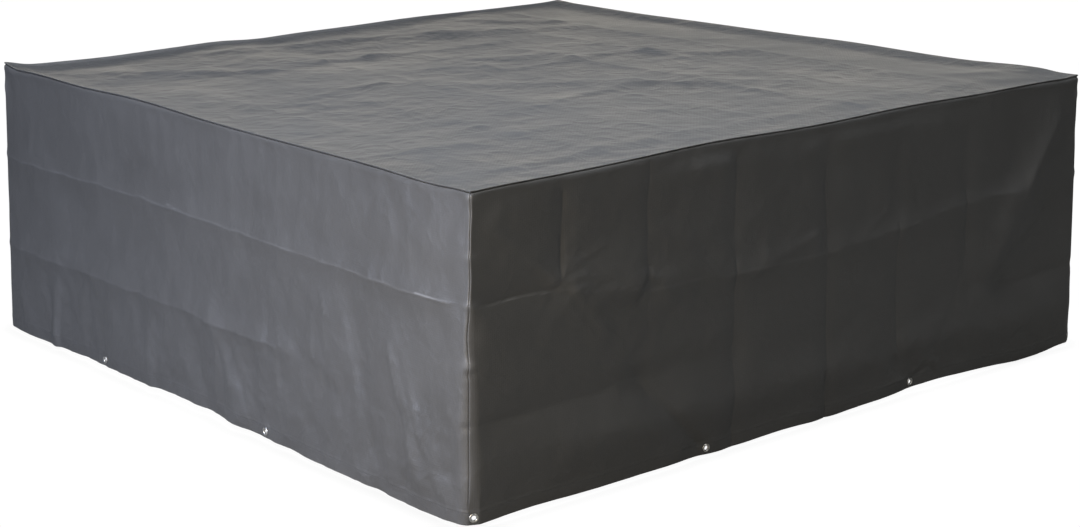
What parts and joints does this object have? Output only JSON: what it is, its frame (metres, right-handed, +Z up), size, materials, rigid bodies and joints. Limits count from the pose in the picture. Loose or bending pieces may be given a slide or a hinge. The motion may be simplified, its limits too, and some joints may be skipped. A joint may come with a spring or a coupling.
{
  "type": "square patio furniture cover",
  "caption": "Low square fitted cover of dark grey woven sheeting, hollow and open below, with a flat top, straight walls, sewn corner seams and metal eyelets in a hem band.",
  "frame": {"origin": "on the ground, under the middle of the cover", "axes": "+Z up from the ground to the top panel; the front wall faces -Y and the left wall faces -X; X and Y run along the walls"},
  "size_m": [2.0576, 2.0412, 0.7257],
  "materials": {
    "woven_sheeting": "woven polyethylene tape sheeting, laminated on both faces, with a low satin sheen",
    "hem_sheeting": "the same sheeting, turned up double and sewn along the hem",
    "pressed_aluminium": "pressed sheet, satin"
  },
  "bodies": {
    "root": {"top_panel": "woven_sheeting", "wall_front": "woven_sheeting", "wall_right": "woven_sheeting", "wall_back": "woven_sheeting", "wall_left": "woven_sheeting", "hem_front": "hem_sheeting", "hem_right": "hem_sheeting", "hem_back": "hem_sheeting", "hem_left": "hem_sheeting", "eyelet_01": "pressed_aluminium", "eyelet_02": "pressed_aluminium", "eyelet_03": "pressed_aluminium", "eyelet_04": "pressed_aluminium", "eyelet_05": "pressed_aluminium", "eyelet_06": "pressed_aluminium", "eyelet_07": "pressed_aluminium", "eyelet_08": "pressed_aluminium", "eyelet_09": "pressed_aluminium", "eyelet_10": "pressed_aluminium", "eyelet_11": "pressed_aluminium", "eyelet_12": "pressed_aluminium"}
  },
  "joints": []
}
